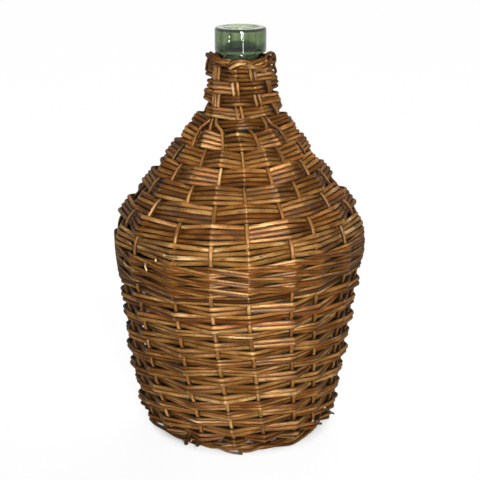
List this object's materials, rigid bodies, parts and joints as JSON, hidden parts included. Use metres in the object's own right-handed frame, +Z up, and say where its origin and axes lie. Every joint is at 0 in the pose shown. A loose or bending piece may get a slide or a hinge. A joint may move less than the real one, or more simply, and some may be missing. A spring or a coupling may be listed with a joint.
{
  "type": "wicker demijohn",
  "caption": "Tall green glass demijohn with a collared mouth, in a close-fitting jacket of woven willow rods that stands on a round rod foot.",
  "frame": {"origin": "on the bottle's axis, in the plane that the foot ring stands on", "axes": "+Z up along the bottle's axis towards the mouth; -Y towards the viewer of the picture, +X to the right"},
  "size_m": [0.2287, 0.2289, 0.37],
  "materials": {
    "green_glass": "clear dark green bottle glass, polished",
    "brown_willow": "varnished mid brown willow rod",
    "dark_willow": "varnished dark brown willow rod",
    "pale_willow": "varnished light brown willow rod"
  },
  "bodies": {
    "root": {"glass_bottle": "green_glass", "stake_01": "pale_willow", "stake_02": "pale_willow", "stake_03": "pale_willow", "stake_04": "pale_willow", "stake_05": "pale_willow", "stake_06": "pale_willow", "stake_07": "pale_willow", "stake_08": "pale_willow", "stake_09": "pale_willow", "stake_10": "pale_willow", "stake_11": "pale_willow", "stake_12": "pale_willow", "stake_13": "pale_willow", "stake_14": "pale_willow", "stake_15": "pale_willow", "stake_16": "pale_willow", "stake_17": "pale_willow", "stake_18": "pale_willow", "stake_19": "pale_willow", "side_row_01": "brown_willow", "side_row_02": "brown_willow", "side_row_03": "brown_willow", "side_row_04": "brown_willow", "side_row_05": "brown_willow", "side_row_06": "brown_willow", "side_row_07": "brown_willow", "side_row_08": "brown_willow", "side_row_09": "brown_willow", "side_row_10": "brown_willow", "side_row_11": "brown_willow", "side_row_12": "brown_willow", "side_row_13": "brown_willow", "side_row_14": "brown_willow", "side_row_15": "brown_willow", "side_row_16": "brown_willow", "side_row_17": "brown_willow", "side_row_18": "brown_willow", "shoulder_band_01": "brown_willow", "shoulder_band_02": "brown_willow", "shoulder_band_03": "brown_willow", "shoulder_band_04": "brown_willow", "shoulder_band_05": "brown_willow", "shoulder_band_06": "brown_willow", "shoulder_band_07": "brown_willow", "neck_band_01": "brown_willow", "neck_band_02": "brown_willow", "neck_band_03": "brown_willow", "neck_band_04": "brown_willow", "neck_band_05": "brown_willow", "base_row_01": "dark_willow", "base_row_02": "dark_willow", "base_row_03": "dark_willow", "belt_row_01": "dark_willow", "belt_row_02": "dark_willow", "belt_row_03": "dark_willow", "rim_strand_1": "dark_willow", "rim_strand_2": "dark_willow", "foot_border": "dark_willow", "base_hub": "dark_willow"}
  },
  "joints": []
}
